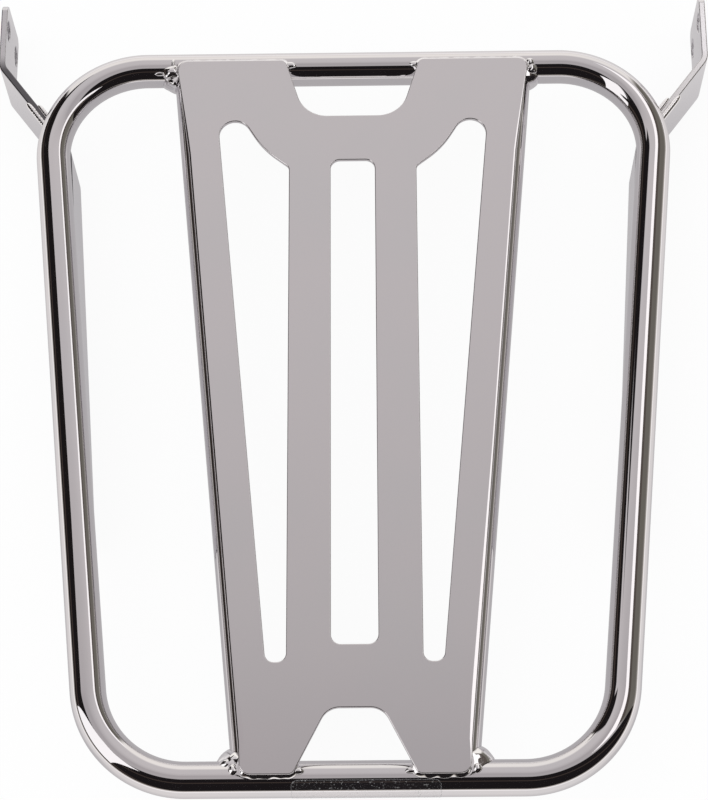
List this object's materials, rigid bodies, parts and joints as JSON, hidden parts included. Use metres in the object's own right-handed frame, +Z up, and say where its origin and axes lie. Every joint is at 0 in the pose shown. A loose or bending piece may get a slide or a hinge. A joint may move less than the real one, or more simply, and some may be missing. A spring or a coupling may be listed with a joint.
{
  "type": "motorcycle luggage rack",
  "caption": "Chromed solo luggage rack: a welded tube hoop with rails, a slotted sheet plate on top and bent flat straps whose drilled ears bolt to the fender struts.",
  "frame": {"origin": "under the middle of the whole rack, at the height of the straps' lower edges", "axes": "+Z up, out of the plate on which the load lies; +Y towards the rider, where the drilled ears are; +X to the rack's right, seen from behind"},
  "size_m": [0.2746, 0.3174, 0.0443],
  "materials": {
    "chrome": "bright chrome plating, polished",
    "strap_chrome": "bright chrome plating over rolled flat bar, slightly less smooth",
    "weld_chrome": "chrome plating over rippled weld beads",
    "clear_film": "clear glossy film, blank"
  },
  "bodies": {
    "root": {"hoop_tube": "chrome", "left_rail": "chrome", "right_rail": "chrome", "centre_plate": "chrome", "left_bracket": "strap_chrome", "right_bracket": "strap_chrome", "front_left_rail_weld": "weld_chrome", "front_right_rail_weld": "weld_chrome", "rear_left_rail_weld": "weld_chrome", "rear_right_rail_weld": "weld_chrome", "front_left_plate_weld": "weld_chrome", "front_right_plate_weld": "weld_chrome", "rear_left_plate_weld": "weld_chrome", "rear_right_plate_weld": "weld_chrome", "left_plate_stitches": "weld_chrome", "right_plate_stitches": "weld_chrome", "left_bracket_welds": "weld_chrome", "right_bracket_welds": "weld_chrome", "blank_label": "clear_film"}
  },
  "joints": []
}
